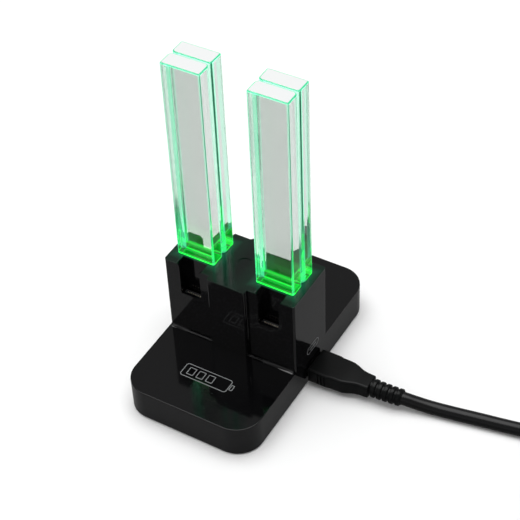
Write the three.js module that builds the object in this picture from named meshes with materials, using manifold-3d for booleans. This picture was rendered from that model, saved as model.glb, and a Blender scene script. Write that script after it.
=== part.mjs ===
// Charging dock for four slide-on game controllers: a low base, a tower with a rail slot on each
// side of two clear columns, and a USB-C lead plugged into the right side of the base.
// Millimetres, +Z up. X runs from the left column to the right one, -Y is the front, and the
// origin is the middle of the footprint on the table.
import * as THREE from "three";
import { mergeVertices } from "three/addons/utils/BufferGeometryUtils.js";
import Module from "manifold-3d";

const wasm = await Module();
wasm.setup();

// ---- Driving dimensions ----------------------------------------------------------------------
const fitGap = 0.3; // between pieces that touch or slide
const through = 1; // how far a cut runs past the wall it opens

// Base and tower, one moulding
const baseWidth = 48;
const baseDepth = 82.8;
const baseTop = 12;
const cornerRadius = 9;
const wall = 1.5;
const footProud = 0.6; // the feet hold the base this far off the table
const towerDepth = 21;
const towerHeight = 30; // above the base
const towerEdgeRadius = 0.8;
const coveRadius = 1.2; // where the tower grows out of the base
const panelWidth = 13.8; // raised panel between the front rail slots
const panelProud = 1.85;
const panelEdgeRadius = 0.6;
const sinkDepth = 0.25; // shallow round hollow in the tower's roof, over its screw boss
const sinkRadius = 2.3;

// Rail slots
const columnPitch = 29.2;
const slotWidth = 9.4;
const mouthWidth = 7.6;
const lipThickness = 1;
const slotBack = 6.3; // slot's back wall, from the middle plane
const slotBackWall = 1;
const slotSideWall = 1.3;
const slotDepth = 13; // from the tower's roof down to the sill of the open front
const noseBelowSill = 1.8;
const blockReach = 2.6; // how far a contact block stands up into its slot
const seatRecess = 0.2; // the back wall steps back here behind the contact block
const leadIn = 1; // chamfer at the top of the lips

// Light bars
const barWidth = 13.8;
const barDepth = 6.05;
const barHeight = 75.2;
const barPairGap = 0.3;
const barOuterRadius = 0.6;
const barInnerRadius = 1.5;
const tenonWidth = 11;
const tenonNear = 0.9; // tenon's inner face, from the middle plane
const tenonDepth = 3;
const tenonLength = 5.4;

// Bottom cover, feet and case screws
const coverThickness = 1.6;
const footRadius = 4;
const footThickness = 1.2;
const footInset = [8, 7.9]; // from the base's sides to the middle of a foot
const screwInset = [7.5, 18.4];
const padRadius = 4;
const padHeight = 1.2;
const bossRadius = 3;
const headRadius = 2.4;
const headHeight = 1;
const shankRadius = 1.1;
const caseShankLength = 7;
const crossWidth = 0.7;
const crossDepth = 0.5;

// Boards and what stands on them
const boardThickness = 1.2;
const mainBoardLeft = -13.8;
const mainBoardDepth = 30;
const mainScrewInset = [3.8, 10.2, 2.6]; // from the left, right and long edges
const contactBoardInset = 1.7; // from the tower's outside
const contactScrewInset = 2.9; // front one, from the tower's face
const boardBossRadius = 2.2;
const boardHeadRadius = 2;
const ribStart = 1.5; // from the rear boss's middle to the rib that ties it to the wall
const boardHeadHeight = 1.1;
const contactScrewBite = 5; // how far its screws go into their bosses
const holderMargin = 0.1; // past the outer tenons at each end
const ledSize = [3, 2.4, 1.6];
const ledSpace = 1.9; // under the tenons' ends
const chipSize = [4, 4, 1];
const chipPitch = 6;
const chipFromRight = 10.2; // last chip, from the board's right edge
const chipY = 5.5;
const capacitorRadius = 2.5;
const capacitorHeadroom = 3.6; // under the contact board
const capacitorFromRight = 9.2;
const inductorSize = [5, 5, 2];
const inductorFromRight = 17.2;
const ribbonFromLeft = 5.8; // from the main board's left edge to the ribbons' middle
const ribbonWidth = 8;
const ribbonThickness = 0.5;
const ribbonSlack = 2.5;
const ribbonSteps = 8;

// Contact blocks: ten sprung pins in each
const pinCount = 10;
const pinPitch = 0.66;
const pinWidth = 0.35;
const pinThickness = 0.3;
const pinProud = 0.6; // above the contact block
const pinLength = 3.5;
const pinTravel = 0.4;
const pinFrontWall = 0.35; // of the block, between the pins' slot and its outer face
const blockHeight = 6.1;
const blockFlange = 1.2;
const pinBarHeight = 1.4;

// USB-C socket and plug
const portY = 1.8;
const portZ = 4.8;
const portWidth = 9.5;
const portHeight = 3.6;
const portWall = 0.3;
const portLength = 8.2;
const portMouthInset = 0.8;
const tongueWidth = 6.7;
const tongueThickness = 0.7;
const tongueInset = 1; // from the socket's ends
const tongueFoot = 0.9;
const sealRadius = 0.1; // how much flatter than a half circle the sleeves' short sides are
const plugShellWidth = 8.25;
const plugShellHeight = 2.4;
const plugShellLength = 6.65;
const plugShellWall = 0.3;
const gripWidth = 11;
const gripHeight = 5.8;
const gripStandoff = 0.5; // between the base's side and the grip
const gripShoulderLength = 11.9;
const gripLength = 21;
const gripRearWidth = 6.8;
const gripRadius = 1;

// Cord, its coil and the USB-A plug
const cordDiameter = 4.5;
const cordSides = 8;
const reliefStart = 6.6;
const reliefEnd = 5.6;
const reliefSteps = 8;
const tieThickness = 0.6;
const tieWidth = 12;
const tieTurn = -Math.PI / 2; // direction from the coil's middle to the tie
const coilMiddle = [139, -9];
const coilRadii = [18, 22.5, 27];
const coilLayers = 2;
const coilSegments = 40;
const usbAWidth = 15.8;
const usbAHeight = 7.6;
const usbALength = 24;
const usbAShellWidth = 12;
const usbAShellHeight = 4.5;
const usbAShellLength = 12;
const usbAShellWall = 0.4;
const usbATongueHeight = 1.6;
const usbATongueInset = 0.5;
const usbARearRadius = 1.6;
const usbAFrontRadius = 2.4;
const usbAReliefLength = 8;
const usbAX = 172; // under the end of the tail
const usbAStartY = -17.5;

// ---- Worked-out dimensions -------------------------------------------------------------------
const halfWidth = baseWidth / 2;
const innerX = halfWidth - wall;
const innerTowerY = towerDepth / 2 - wall;
const towerTop = baseTop + towerHeight;
const roof = towerTop - wall;
const baseRoof = baseTop - wall;
const slotFront = towerDepth / 2 - lipThickness;
const sillHeight = towerTop - slotDepth;
const noseTop = sillHeight - noseBelowSill;
const slotWallBottom = noseTop - blockReach;
const flangeTop = slotWallBottom - fitGap;
const pinTop = noseTop + pinProud;
const pinBarBottom = pinTop - pinLength;
const noseNear = slotBack + fitGap; // from the middle plane
const noseFar = Math.min(slotFront, innerTowerY) - fitGap;
const pinRow = noseFar - pinFrontWall - fitGap - pinThickness / 2;
const seatBottom = pinTop + fitGap;
const footX = halfWidth - footInset[0];
const footY = baseDepth / 2 - footInset[1];
const screwX = halfWidth - screwInset[0];
const screwY = baseDepth / 2 - screwInset[1];
const columnX = [-columnPitch / 2, columnPitch / 2];
const barNear = barPairGap / 2;
const barTop = towerTop + barHeight;
const tenonBottom = towerTop - tenonLength;
const holderHalfDepth = slotBack - slotBackWall - fitGap;
const holderTop = roof - fitGap;
const lightBoardTop = tenonBottom - ledSpace - fitGap;
const lightBoardBottom = lightBoardTop - boardThickness;
const lightBoardWidth = columnPitch + tenonWidth - 2 * holderMargin;
const coverTop = footProud + coverThickness;
const padTop = coverTop + padHeight;
const mainBoardBottom = portZ + portHeight / 2 + fitGap;
const mainBoardTop = mainBoardBottom + boardThickness;
const mainBoardRight = innerX - fitGap;
const mainScrewX = [mainBoardLeft + mainScrewInset[0], mainBoardRight - mainScrewInset[1]];
const mainScrewY = mainBoardDepth / 2 - mainScrewInset[2];
const contactBoardTop = noseTop - blockHeight - fitGap;
const contactBoardBottom = contactBoardTop - boardThickness;
const contactScrewY = [
  contactScrewInset - towerDepth / 2,
  innerTowerY - fitGap - boardHeadRadius,
];
const lightBoardDepth = 2 * (contactScrewY[1] - boardBossRadius - fitGap);
const capacitorHeight = contactBoardBottom - mainBoardTop - fitGap - capacitorHeadroom;
const portMouth = halfWidth - portMouthInset;
const gripFront = halfWidth + gripStandoff;
const gripShoulder = gripFront + gripShoulderLength;
const gripRear = gripFront + gripLength;
const coilBottom = tieThickness + fitGap;
const coilInner = coilRadii[0] - cordDiameter / 2;
const coilOuter = coilRadii[coilRadii.length - 1] + cordDiameter / 2;
const coilTop = coilBottom + coilLayers * cordDiameter;

// Points of the cord's free stretches, from the strain relief to the coil and on to the USB-A plug
const reliefRoute = [
  [45.5, 1.8, 4.8],
  [49, 1.85, 4.75],
  [53, 2.25, 4.5],
  [56.4, 2.9, 4.05],
];
const leadRoute = [
  [56.8, 2.98, 4.0],
  [61, 3.9, 3.2],
  [66, 5.0, 2.5],
  [73, 6.3, 2.3],
  [81, 7.8, 2.3],
  [89, 9.2, 2.3],
  [97, 10.8, 2.35],
  [105, 12.7, 2.6],
  [113, 14.9, 2.9],
  [120.5, 16.8, 3.1],
];
const tailRoute = [
  [158.2, 16.9, 5.6],
  [163.8, 12.3, 3.9],
  [168.2, 6.1, 2.7],
  [170.9, -0.8, 2.35],
  [171.8, -6.9, 2.6],
  [172, -12.2, 3.3],
  [172, -17.1, 3.8],
];

// ---- Materials -------------------------------------------------------------------------------
function finish(color, roughness, metalness = 0) {
  return new THREE.MeshStandardMaterial({ color, roughness, metalness, flatShading: true });
}

const glossBlack = finish(0x0c0c0d, 0.12);
const mattBlack = finish(0x151516, 0.55);
const rubberBlack = finish(0x1b1b1c, 0.85);
const clearAcrylic = finish(0xc9d8d0, 0.03);
const holderWhite = finish(0xe8e8e4, 0.5);
const boardBlack = finish(0x16301f, 0.45);
const chipBlack = finish(0x1a1a1c, 0.4);
const ledWhite = finish(0xf2f2e6, 0.3);
const capacitorBlue = finish(0x2a2f3a, 0.35);
const steel = finish(0xb9bbbd, 0.28, 1);
const gold = finish(0xd8b25a, 0.25, 1);
const cordBlack = finish(0x121213, 0.42);
const ribbonWhite = finish(0xd9d6cc, 0.5);
const tieBlack = finish(0x202022, 0.9);

// ---- Geometry helpers ------------------------------------------------------------------------
const dock = new THREE.Group();

function solid(geometry) {
  const plain = geometry.clone();
  plain.deleteAttribute("normal");
  plain.deleteAttribute("uv");
  const merged = mergeVertices(plain, 1e-4);
  return new wasm.Manifold(
    new wasm.Mesh({
      numProp: 3,
      vertProperties: new Float32Array(merged.attributes.position.array),
      triVerts: new Uint32Array(merged.index.array),
    }),
  );
}

function join(first, ...others) {
  return others.reduce((whole, next) => whole.add(next), first);
}

function cut(first, ...others) {
  return others.reduce((whole, next) => whole.subtract(next), first);
}

function geometryOf(shape) {
  const mesh = shape.getMesh();
  const geometry = new THREE.BufferGeometry();
  geometry.setAttribute("position", new THREE.BufferAttribute(mesh.vertProperties, 3));
  geometry.setIndex(new THREE.BufferAttribute(mesh.triVerts, 1));
  geometry.computeVertexNormals();
  return geometry;
}

function addPiece(name, shape, material) {
  const geometry = shape.isBufferGeometry ? shape : geometryOf(shape);
  const mesh = new THREE.Mesh(geometry, material);
  mesh.name = name;
  dock.add(mesh);
  return mesh;
}

// Box between two corners given axis by axis.
function block(x0, x1, y0, y1, z0, z1) {
  const box = new THREE.BoxGeometry(Math.abs(x1 - x0), Math.abs(y1 - y0), Math.abs(z1 - z0));
  box.translate((x0 + x1) / 2, (y0 + y1) / 2, (z0 + z1) / 2);
  return solid(box);
}

// Box from its middle in plan, its size in plan and its two heights.
function slab(x, y, width, depth, z0, z1) {
  return block(x - width / 2, x + width / 2, y - depth / 2, y + depth / 2, z0, z1);
}

// Rectangle with corners of four radii, anticlockwise from the right front one.
function roundedOutline(width, depth, radii) {
  const [rf, rb, lb, lf] = radii;
  const x = width / 2;
  const y = depth / 2;
  const outline = new THREE.Shape();
  outline.moveTo(-x + lf, -y);
  outline.lineTo(x - rf, -y);
  outline.absarc(x - rf, -y + rf, rf, -Math.PI / 2, 0, false);
  outline.absarc(x - rb, y - rb, rb, 0, Math.PI / 2, false);
  outline.absarc(-x + lb, y - lb, lb, Math.PI / 2, Math.PI, false);
  outline.absarc(-x + lf, -y + lf, lf, Math.PI, 1.5 * Math.PI, false);
  return outline;
}

function extrude(outline, length, curveSegments = 6) {
  return new THREE.ExtrudeGeometry(outline, { depth: length, bevelEnabled: false, curveSegments });
}

// Upright prism with rounded vertical edges.
function plate(width, depth, radius, z0, z1, curveSegments = 6) {
  const outline = roundedOutline(width, depth, [radius, radius, radius, radius]);
  return solid(extrude(outline, z1 - z0, curveSegments).translate(0, 0, z0));
}

// Prism along +X with a rounded section, from x0 to x1.
function sleeve(x0, x1, y, z, width, height, radius) {
  const outline = roundedOutline(width, height, [radius, radius, radius, radius]);
  const bar = extrude(outline, x1 - x0, 4);
  bar.rotateX(Math.PI / 2);
  bar.rotateZ(Math.PI / 2);
  return solid(bar.translate(x0, y, z));
}

function disc(x, y, radius, z0, z1, sides = 20) {
  const cylinder = new THREE.CylinderGeometry(radius, radius, z1 - z0, sides);
  cylinder.rotateX(Math.PI / 2);
  return solid(cylinder.translate(x, y, (z0 + z1) / 2));
}

// Prism along X of a profile given as [y, z] points, centred on x.
function profileAlongX(points, x, length) {
  const outline = new THREE.Shape(points.map(([y, z]) => new THREE.Vector2(y, z)));
  const bar = extrude(outline, length);
  bar.rotateX(Math.PI / 2);
  bar.rotateZ(Math.PI / 2);
  return solid(bar.translate(x - length / 2, 0, 0));
}

// Prism along Y of a profile given as [x, z] points, from y0 to y1.
function profileAlongY(points, y0, y1) {
  const outline = new THREE.Shape(points.map(([x, z]) => new THREE.Vector2(x, z)));
  const bar = extrude(outline, y1 - y0);
  bar.rotateX(Math.PI / 2);
  return solid(bar.translate(0, y1, 0));
}

function tube(points, radius, steps, sides) {
  const route = new THREE.CatmullRomCurve3(points.map((p) => new THREE.Vector3(...p)));
  const section = new THREE.Shape();
  section.absarc(0, 0, radius, 0, 2 * Math.PI, false);
  return new THREE.ExtrudeGeometry(section, {
    extrudePath: route,
    steps,
    bevelEnabled: false,
    curveSegments: sides / 2,
  });
}

// Screw with its cross-recessed head down, its shank up and the head's outer face at height z.
function screw(x, y, z, radius, height, shankLength) {
  const head = disc(x, y, radius, z, z + height, 16);
  const shank = disc(x, y, shankRadius, z + height / 2, z + height + shankLength, 10);
  const arm = 1.3 * radius;
  const crossX = slab(x, y, arm, crossWidth, z - through, z + crossDepth);
  const crossY = slab(x, y, crossWidth, arm, z - through, z + crossDepth);
  return cut(join(head, shank), join(crossX, crossY));
}

// ---- Shell -----------------------------------------------------------------------------------
// Concave strip where the tower's front (side -1) or rear (side 1) face meets the base.
function cove(side) {
  const face = (side * towerDepth) / 2;
  const arc = [];
  const steps = 6;
  for (let i = 0; i <= steps; i += 1) {
    const angle = (i * Math.PI) / 2 / steps;
    const out = coveRadius * (1 - Math.sin(angle));
    const up = coveRadius * (1 - Math.cos(angle));
    arc.push([face + side * out, baseTop + up]);
  }
  const points = [...arc];
  points.push([face - side * wall, baseTop + coveRadius]);
  points.push([face - side * wall, baseTop - wall / 2]);
  points.push([face + side * coveRadius, baseTop - wall / 2]);
  if (side > 0) points.reverse();
  return profileAlongX(points, 0, baseWidth - 2 * towerEdgeRadius);
}

// What the rail slot at column x, on one side, takes out of the tower.
function slotCut(x, side) {
  const half = slotWidth / 2;
  const mouth = mouthWidth / 2;
  const front = towerDepth / 2 + through;
  const inner = block(
    x - half,
    x + half,
    side * slotBack,
    side * slotFront,
    slotWallBottom - through,
    towerTop + through,
  );
  const recess = block(
    x - half,
    x + half,
    side * (slotBack - seatRecess),
    side * slotFront,
    slotWallBottom - through,
    seatBottom,
  );
  const opening = block(
    x - mouth,
    x + mouth,
    side * (slotFront - through),
    side * front,
    sillHeight,
    towerTop + through,
  );
  const flare = [
    [x - mouth, towerTop - leadIn],
    [x + mouth, towerTop - leadIn],
    [x + mouth + 2 * leadIn, towerTop + leadIn],
    [x - mouth - 2 * leadIn, towerTop + leadIn],
  ];
  const near = Math.min(side * (slotFront - leadIn), side * front);
  const far = Math.max(side * (slotFront - leadIn), side * front);
  return join(inner, recess, opening, profileAlongY(flare, near, far));
}

// Walls kept round the rail slot inside the hollow tower.
function slotWalls(x, side) {
  const half = slotWidth / 2 + slotSideWall;
  return block(
    x - half,
    x + half,
    side * (slotBack - slotBackWall),
    (side * towerDepth) / 2,
    slotWallBottom,
    towerTop,
  );
}

function boss(x, y, radius, bottom, top, holeTop) {
  const hole = disc(x, y, shankRadius + fitGap, bottom - through, holeTop, 12);
  return { body: disc(x, y, radius, bottom, top), hole };
}

function shellBosses() {
  const list = [];
  const sides = [-1, 1];
  for (const sx of sides) {
    for (const sy of sides) {
      list.push(boss(sx * screwX, sy * screwY, bossRadius, padTop + fitGap, baseTop - wall / 2, baseRoof));
    }
  }
  mainScrewX.forEach((x, i) => {
    const y = sides[i] * mainScrewY;
    list.push(boss(x, y, boardBossRadius, mainBoardTop + fitGap, baseTop - wall / 2, baseRoof));
  });
  for (const y of contactScrewY) {
    const bottom = contactBoardTop + fitGap;
    list.push(boss(0, y, boardBossRadius, bottom, towerTop - wall / 2, roof));
  }
  list.push(boss(0, 0, boardBossRadius, lightBoardTop + fitGap, towerTop - wall / 2, roof));
  return list;
}

function upperShell() {
  const halfPanel = towerDepth / 2 + panelProud;
  const base = plate(baseWidth, baseDepth, cornerRadius, footProud, baseTop, 10);
  const tower = plate(baseWidth, towerDepth, towerEdgeRadius, baseTop - wall / 2, towerTop, 3);
  const panelSolid = plate(
    panelWidth,
    2 * halfPanel,
    panelEdgeRadius,
    baseTop - wall / 2,
    towerTop,
    6,
  );
  const behind = block(-halfWidth, halfWidth, 0, halfPanel + through, 0, towerTop + through);
  const panel = cut(panelSolid, behind);
  const baseHollow = plate(
    baseWidth - 2 * wall,
    baseDepth - 2 * wall,
    cornerRadius - wall,
    footProud - through,
    baseRoof,
    10,
  );
  const towerHollow = slab(0, 0, 2 * innerX, 2 * innerTowerY, baseRoof - through, roof);
  const panelHollow = block(
    wall - panelWidth / 2,
    panelWidth / 2 - wall,
    wall - halfPanel,
    0,
    baseRoof - through,
    roof,
  );
  let hollow = join(baseHollow, towerHollow, panelHollow);
  const slots = [];
  for (const x of columnX) {
    for (const side of [-1, 1]) {
      hollow = cut(hollow, slotWalls(x, side));
      slots.push(slotCut(x, side));
      const near = side * (tenonNear - fitGap);
      const far = side * (tenonNear + tenonDepth + fitGap);
      const half = tenonWidth / 2 + fitGap;
      slots.push(block(x - half, x + half, near, far, roof - through, towerTop + through));
    }
  }
  const bosses = shellBosses();
  const port = sleeve(
    innerX - through,
    halfWidth + through,
    portY,
    portZ,
    portWidth + 2 * fitGap,
    portHeight + 2 * fitGap,
    portHeight / 2 - portWall,
  );
  const sink = disc(0, 0, sinkRadius, towerTop - sinkDepth, towerTop + through, 24);
  const outside = join(base, tower, panel, cove(-1), cove(1));
  const rib = block(
    -wall / 2,
    wall / 2,
    contactScrewY[1] + ribStart,
    innerTowerY + wall / 2,
    contactBoardTop + fitGap,
    towerTop - wall / 2,
  );
  const walls = join(cut(outside, hollow), rib, ...bosses.map((b) => b.body));
  return cut(walls, ...slots, port, sink, ...bosses.map((b) => b.hole));
}

// ---- Bottom cover, feet and screws -----------------------------------------------------------
const corners = [
  ["front_left", -1, -1],
  ["front_right", 1, -1],
  ["rear_left", -1, 1],
  ["rear_right", 1, 1],
];

function bottomCover() {
  const inset = wall + fitGap;
  let cover = plate(
    baseWidth - 2 * inset,
    baseDepth - 2 * inset,
    cornerRadius - inset,
    footProud,
    coverTop,
  );
  for (const [, sx, sy] of corners) {
    const x = sx * screwX;
    const y = sy * screwY;
    cover = join(cover, disc(x, y, padRadius, footProud, padTop));
    cover = cut(
      cover,
      disc(x, y, headRadius + fitGap, footProud - through, footProud + headHeight + 2 * fitGap),
      disc(x, y, shankRadius + fitGap, footProud, padTop + through, 12),
      disc(sx * footX, sy * footY, footRadius + fitGap, footProud - through, footThickness + fitGap),
    );
  }
  return cover;
}

function addCornerPieces() {
  for (const [place, sx, sy] of corners) {
    const foot = disc(sx * footX, sy * footY, footRadius, 0, footThickness, 24);
    addPiece("foot_" + place, foot, rubberBlack);
    const z = footProud + fitGap;
    const fastener = screw(sx * screwX, sy * screwY, z, headRadius, headHeight, caseShankLength);
    addPiece("case_screw_" + place, fastener, steel);
  }
}

// ---- Light bars, their holder and the light board --------------------------------------------
const slotPlaces = [
  ["front_left", columnX[0], -1],
  ["front_right", columnX[1], -1],
  ["rear_left", columnX[0], 1],
  ["rear_right", columnX[1], 1],
];

// A bar stands on the roof on its shoulder, with a tenon through the roof into the holder.
function lightBar(x, side) {
  const inner = barInnerRadius;
  const outer = barOuterRadius;
  const radii = side < 0 ? [outer, inner, inner, outer] : [inner, outer, outer, inner];
  const bottom = towerTop + fitGap;
  const outline = roundedOutline(barWidth, barDepth, radii);
  const y = side * (barNear + barDepth / 2);
  const body = solid(extrude(outline, barTop - bottom, 4).translate(x, y, bottom));
  const half = tenonWidth / 2;
  const tenon = block(
    x - half,
    x + half,
    side * tenonNear,
    side * (tenonNear + tenonDepth),
    tenonBottom,
    bottom + through,
  );
  return join(body, tenon);
}

function barHolder() {
  const bottom = lightBoardTop + fitGap;
  let holder = slab(0, 0, lightBoardWidth, 2 * holderHalfDepth, bottom, holderTop);
  for (const [, x, side] of slotPlaces) {
    const half = tenonWidth / 2 + fitGap;
    const near = side * (tenonNear - fitGap);
    const far = side * (tenonNear + tenonDepth + fitGap);
    const well = block(x - half, x + half, near, far, lightBoardTop, holderTop + through);
    holder = cut(holder, well);
  }
  for (const y of [0, contactScrewY[1]]) {
    const clear = boardBossRadius + fitGap;
    holder = cut(holder, disc(0, y, clear, lightBoardTop, holderTop + through));
  }
  return holder;
}

function lightBoard() {
  const board = slab(0, 0, lightBoardWidth, lightBoardDepth, lightBoardBottom, lightBoardTop);
  const bottom = lightBoardBottom - through;
  const hole = disc(0, 0, shankRadius + fitGap, bottom, lightBoardTop + through, 12);
  return cut(board, hole);
}

function addLights() {
  const [ledWidth, ledDepth, ledHeight] = ledSize;
  for (const [place, x, side] of slotPlaces) {
    addPiece("light_bar_" + place, lightBar(x, side), clearAcrylic);
    const y = side * (tenonNear + tenonDepth / 2);
    const z = lightBoardTop + fitGap;
    addPiece("led_" + place, slab(x, y, ledWidth, ledDepth, z, z + ledHeight), ledWhite);
  }
  addPiece("bar_holder", barHolder(), holderWhite);
  addPiece("light_board", lightBoard(), boardBlack);
  const head = lightBoardBottom - fitGap - boardHeadHeight;
  const reach = roof - fitGap - lightBoardBottom;
  addPiece("light_board_screw", screw(0, 0, head, boardHeadRadius, boardHeadHeight, reach), steel);
}

// ---- Contact blocks and their board ----------------------------------------------------------
// Block that fills the bottom of a rail slot from below and carries one row of sprung pins.
function contactBlock(x, side) {
  const half = slotWidth / 2 - fitGap;
  const bottom = contactBoardTop + fitGap;
  const nose = block(x - half, x + half, side * noseNear, side * noseFar, bottom, noseTop);
  const flange = block(
    x - half - blockFlange,
    x + half + blockFlange,
    side * (slotBack - slotBackWall),
    side * (innerTowerY - fitGap),
    bottom,
    flangeTop,
  );
  const rowWidth = (pinCount - 1) * pinPitch + pinWidth + 2 * fitGap;
  const slot = slab(
    x,
    side * pinRow,
    rowWidth,
    pinThickness + 2 * fitGap,
    pinBarBottom - pinTravel - fitGap,
    noseTop + through,
  );
  return cut(join(nose, flange), slot);
}

// The ten pins of one block, on the sprung strip that joins them.
function contactPins(x, side) {
  const rowWidth = (pinCount - 1) * pinPitch + pinWidth;
  const y = side * pinRow;
  const barTopZ = pinBarBottom + pinBarHeight;
  let pins = slab(x, y, rowWidth, pinThickness, pinBarBottom, barTopZ);
  for (let i = 0; i < pinCount; i += 1) {
    const pinX = x + (i - (pinCount - 1) / 2) * pinPitch;
    pins = join(pins, slab(pinX, y, pinWidth, pinThickness, pinBarBottom, pinTop));
  }
  return pins;
}

function contactBoard() {
  const width = baseWidth - 2 * wall - 2 * contactBoardInset;
  const depth = towerDepth - 2 * wall - 2 * fitGap;
  const board = join(
    slab(0, 0, width, depth, contactBoardBottom, contactBoardTop),
    block(
      -boardBossRadius,
      boardBossRadius,
      contactScrewY[0] - boardBossRadius,
      0,
      contactBoardBottom,
      contactBoardTop,
    ),
  );
  const holes = contactScrewY.map((y) =>
    disc(
      0,
      y,
      shankRadius + fitGap,
      contactBoardBottom - through,
      contactBoardTop + through,
      12,
    ),
  );
  return cut(board, ...holes);
}

function addContacts() {
  for (const [place, x, side] of slotPlaces) {
    addPiece("contact_block_" + place, contactBlock(x, side), mattBlack);
    addPiece("contact_pins_" + place, contactPins(x, side), gold);
  }
  addPiece("contact_board", contactBoard(), boardBlack);
  contactScrewY.forEach((y, i) => {
    const head = contactBoardBottom - fitGap - boardHeadHeight;
    const reach = boardThickness + 2 * fitGap + contactScrewBite;
    const fastener = screw(0, y, head, boardHeadRadius, boardHeadHeight, reach);
    addPiece(["contact_board_screw_front", "contact_board_screw_rear"][i], fastener, steel);
  });
}

// ---- Main board ------------------------------------------------------------------------------
function mainBoard() {
  const x = (mainBoardLeft + mainBoardRight) / 2;
  const width = mainBoardRight - mainBoardLeft;
  const bottom = mainBoardBottom - through;
  let board = slab(x, 0, width, mainBoardDepth, mainBoardBottom, mainBoardTop);
  mainScrewX.forEach((holeX, i) => {
    const y = [-1, 1][i] * mainScrewY;
    const radius = shankRadius + fitGap;
    board = cut(board, disc(holeX, y, radius, bottom, mainBoardTop + through, 12));
  });
  return board;
}

// Flat cable with an S-shaped slack between two heights.
function ribbon(x, y, z0, z1) {
  const near = [];
  const far = [];
  for (let i = 0; i <= ribbonSteps; i += 1) {
    const share = i / ribbonSteps;
    const sway = ribbonSlack * Math.sin(2 * Math.PI * share);
    const z = z0 + (z1 - z0) * share;
    near.push([y + sway - ribbonThickness / 2, z]);
    far.unshift([y + sway + ribbonThickness / 2, z]);
  }
  return profileAlongX([...near, ...far].reverse(), x, ribbonWidth);
}

function addMainBoard() {
  addPiece("main_board", mainBoard(), boardBlack);
  mainScrewX.forEach((x, i) => {
    const y = [-1, 1][i] * mainScrewY;
    const head = mainBoardBottom - fitGap - boardHeadHeight;
    const reach = baseRoof - fitGap - mainBoardBottom;
    const fastener = screw(x, y, head, boardHeadRadius, boardHeadHeight, reach);
    addPiece(["main_board_screw_front", "main_board_screw_rear"][i], fastener, steel);
  });
  const top = mainBoardTop + fitGap;
  const [chipWidth, chipDepth, chipHeight] = chipSize;
  for (let i = 0; i < slotPlaces.length; i += 1) {
    const x = mainBoardRight - chipFromRight - (slotPlaces.length - 1 - i) * chipPitch;
    const chip = slab(x, -chipY, chipWidth, chipDepth, top, top + chipHeight);
    addPiece("charge_chip_" + (i + 1), chip, chipBlack);
  }
  const canX = mainBoardRight - capacitorFromRight;
  const can = disc(canX, chipY, capacitorRadius, top, top + capacitorHeight, 24);
  addPiece("input_capacitor", can, capacitorBlue);
  const [width, depth, height] = inductorSize;
  const inductorX = mainBoardRight - inductorFromRight;
  const inductor = slab(inductorX, chipY, width, depth, top, top + height);
  addPiece("power_inductor", inductor, chipBlack);
  const ribbonX = mainBoardLeft + ribbonFromLeft;
  const upper = ribbon(ribbonX, 0, contactBoardTop + fitGap, lightBoardBottom - fitGap);
  addPiece("ribbon_to_light_board", upper, ribbonWhite);
  const lower = ribbon(ribbonX, 0, mainBoardTop + fitGap, contactBoardBottom - fitGap);
  addPiece("ribbon_to_contact_board", lower, ribbonWhite);
}

// ---- USB-C socket, plug, cord and USB-A plug -------------------------------------------------
function hollowSleeve(x0, x1, y, z, width, height, thickness, closedAt) {
  const radius = height / 2 - sealRadius;
  const outer = sleeve(x0, x1, y, z, width, height, radius);
  const inner = sleeve(
    closedAt,
    x1 + through,
    y,
    z,
    width - 2 * thickness,
    height - 2 * thickness,
    radius - thickness,
  );
  return cut(outer, inner);
}

function addSocket() {
  const back = portMouth - portLength;
  const shell = hollowSleeve(
    back,
    portMouth,
    portY,
    portZ,
    portWidth,
    portHeight,
    portWall,
    back - through,
  );
  addPiece("usb_socket_shell", shell, steel);
  const rear = sleeve(
    back + fitGap,
    back + fitGap + tongueFoot,
    portY,
    portZ,
    portWidth - 2 * portWall - 2 * fitGap,
    portHeight - 2 * portWall - 2 * fitGap,
    portHeight / 2 - portWall - 2 * fitGap,
  );
  const blade = slab(
    (back + portMouth) / 2,
    portY,
    portLength - 2 * tongueInset,
    tongueWidth,
    portZ - tongueThickness / 2,
    portZ + tongueThickness / 2,
  );
  addPiece("usb_socket_tongue", join(rear, blade), chipBlack);
}

// The grip is a short wide body that narrows to the strain relief behind it.
function gripOutline() {
  const front = gripWidth / 2;
  const rear = gripRearWidth / 2;
  const waist = (gripShoulder + gripRear) / 2;
  const outline = new THREE.Shape();
  outline.moveTo(gripFront, -front + gripRadius);
  outline.quadraticCurveTo(gripFront, -front, gripFront + gripRadius, -front);
  outline.lineTo(gripShoulder, -front);
  outline.bezierCurveTo(waist, -front, waist, -rear, gripRear, -rear);
  outline.lineTo(gripRear, rear);
  outline.bezierCurveTo(waist, rear, waist, front, gripShoulder, front);
  outline.lineTo(gripFront + gripRadius, front);
  outline.quadraticCurveTo(gripFront, front, gripFront, front - gripRadius);
  return outline;
}

function plugGrip() {
  const bottom = portZ - gripHeight / 2;
  const body = solid(extrude(gripOutline(), gripHeight, 6).translate(0, portY, bottom));
  const section = sleeve(
    gripFront - through,
    gripRear + through,
    portY,
    portZ,
    gripWidth,
    gripHeight,
    gripRadius,
  );
  const relief = taperedTube(reliefRoute, reliefStart / 2, reliefEnd / 2);
  return join(body.intersect(section), relief);
}

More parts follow.
